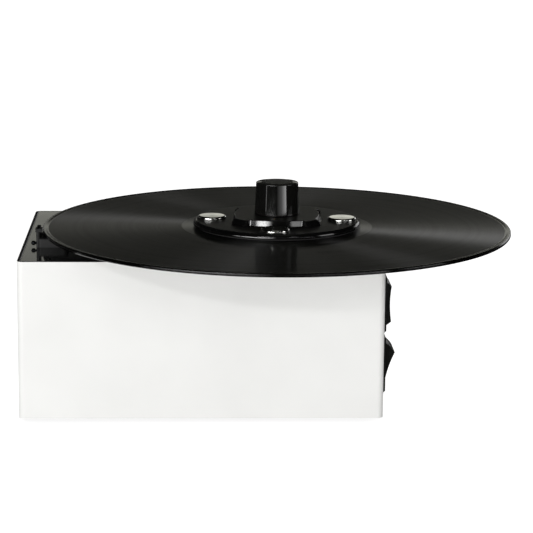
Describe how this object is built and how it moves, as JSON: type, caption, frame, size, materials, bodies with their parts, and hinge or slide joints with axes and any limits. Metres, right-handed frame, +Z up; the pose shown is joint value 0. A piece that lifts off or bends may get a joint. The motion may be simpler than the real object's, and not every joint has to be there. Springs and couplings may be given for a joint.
{
  "type": "record cleaning machine",
  "caption": "Compact vacuum record cleaning machine: box cabinet, direct-drive turntable with a screw-down label clamp, side rocker switches, suction socket and waste tank.",
  "frame": {"origin": "centre of the whole machine's footprint, on the plane of the feet's undersides; the spindle's axis crosses Y = 0", "axes": "+X to the right seen from the front panel, +Y from the front panel to the back, +Z up"},
  "size_m": [0.3134, 0.3016, 0.1407],
  "materials": {
    "white_composite": "satin coated aluminium composite sheet",
    "gloss_dark_plate": "polished acrylic, dark grey",
    "plated_steel": "zinc plated",
    "turned_steel": "turned and ground",
    "polished_steel": "polished",
    "bare_aluminium": "machined",
    "bronze": "sintered",
    "black_rubber": "matt",
    "vinyl": "pressed, gloss",
    "paper_label": "uncoated paper",
    "black_gloss_moulding": "moulded, gloss",
    "black_switch_plastic": "moulded, fine texture",
    "black_plastic": "moulded",
    "natural_tank_plastic": "blow moulded",
    "motor_housing": "enamelled",
    "circuit_board": "solder resist",
    "transformer_core": "varnished laminations",
    "brass": "turned"
  },
  "bodies": {
    "cabinet": {"cabinet_sleeve": "white_composite", "top_plate": "gloss_dark_plate", "base_plate": "plated_steel", "corner_posts": "bare_aluminium", "post_screws": "plated_steel", "rubber_feet": "black_rubber", "foot_screws": "plated_steel", "spindle_bush": "bronze", "thrust_washer": "black_plastic", "motor_mount_plate": "plated_steel", "motor_standoffs": "bare_aluminium", "motor_screws": "plated_steel", "gear_motor": "motor_housing", "rotation_switch_body": "black_switch_plastic", "vacuum_switch_body": "black_switch_plastic", "arm_socket": "black_gloss_moulding", "arm_locating_stud": "turned_steel", "socket_nut": "black_plastic", "waste_tank": "natural_tank_plastic", "tank_lid": "natural_tank_plastic", "suction_hose": "black_rubber", "air_hose": "black_rubber", "drain_pipe": "black_plastic", "blower_motor": "motor_housing", "blower_scroll": "black_plastic", "blower_cover": "black_plastic", "power_board": "circuit_board", "board_standoffs": "bare_aluminium", "transformer": "transformer_core", "board_parts": "black_plastic", "mains_inlet": "black_plastic", "inlet_screws": "plated_steel"},
    "turntable": {"spindle": "turned_steel", "platter": "bare_aluminium", "platter_mat": "black_rubber", "shaft_coupling": "bare_aluminium", "motor_output_shaft": "turned_steel"},
    "record": {"vinyl_record": "vinyl", "record_labels": "paper_label"},
    "clamp": {"clamp_disc": "black_gloss_moulding", "clamp_seal": "black_rubber", "clamp_backplate": "bare_aluminium", "clamp_screws": "polished_steel"},
    "knob": {"clamp_knob": "black_gloss_moulding", "knob_insert": "brass", "knob_circlip": "plated_steel"},
    "rotation_rocker": {"rotation_rocker": "black_switch_plastic"},
    "vacuum_rocker": {"vacuum_rocker": "black_switch_plastic"},
    "drain_cap": {"drain_cap": "black_rubber"},
    "blower_rotor": {"blower_impeller": "black_plastic", "blower_shaft": "turned_steel"}
  },
  "joints": [
    {"name": "turntable_spin", "type": "hinge", "parent": "cabinet", "child": "turntable", "pos_m": [0.00585, 0, 0.1025], "axis": [0, 0, 1], "continuous": true},
    {"name": "record_lift", "type": "slide", "parent": "turntable", "child": "record", "axis": [0, 0, 1], "range_m": [0, 0.03]},
    {"name": "clamp_rise", "type": "slide", "parent": "record", "child": "clamp", "axis": [0, 0, 1], "range_m": [0, 0.0195]},
    {"name": "knob_turn", "type": "hinge", "parent": "clamp", "child": "knob", "pos_m": [0.00585, 0, 0.1199], "axis": [0, 0, 1], "range_deg": [0, 4680]},
    {"name": "rotation_rocker_tilt", "type": "hinge", "parent": "cabinet", "child": "rotation_rocker", "pos_m": [0.06435, -0.047, 0.0726], "axis": [0, 1, 0], "range_deg": [-16.8, 16.8]},
    {"name": "vacuum_rocker_tilt", "type": "hinge", "parent": "cabinet", "child": "vacuum_rocker", "pos_m": [0.06435, -0.047, 0.0338], "axis": [0, 1, 0], "range_deg": [-33.6, 0]},
    {"name": "drain_cap_pull", "type": "slide", "parent": "cabinet", "child": "drain_cap", "axis": [0, 1, 0], "range_m": [0, 0.016]},
    {"name": "blower_spin", "type": "hinge", "parent": "cabinet", "child": "blower_rotor", "pos_m": [-0.02215, 0.064, 0.0315], "axis": [0, 0, 1], "continuous": true}
  ],
  "couplings": [
    {"joint": "knob_turn", "follows": "clamp_rise", "rad_per_m": 4188.8}
  ]
}
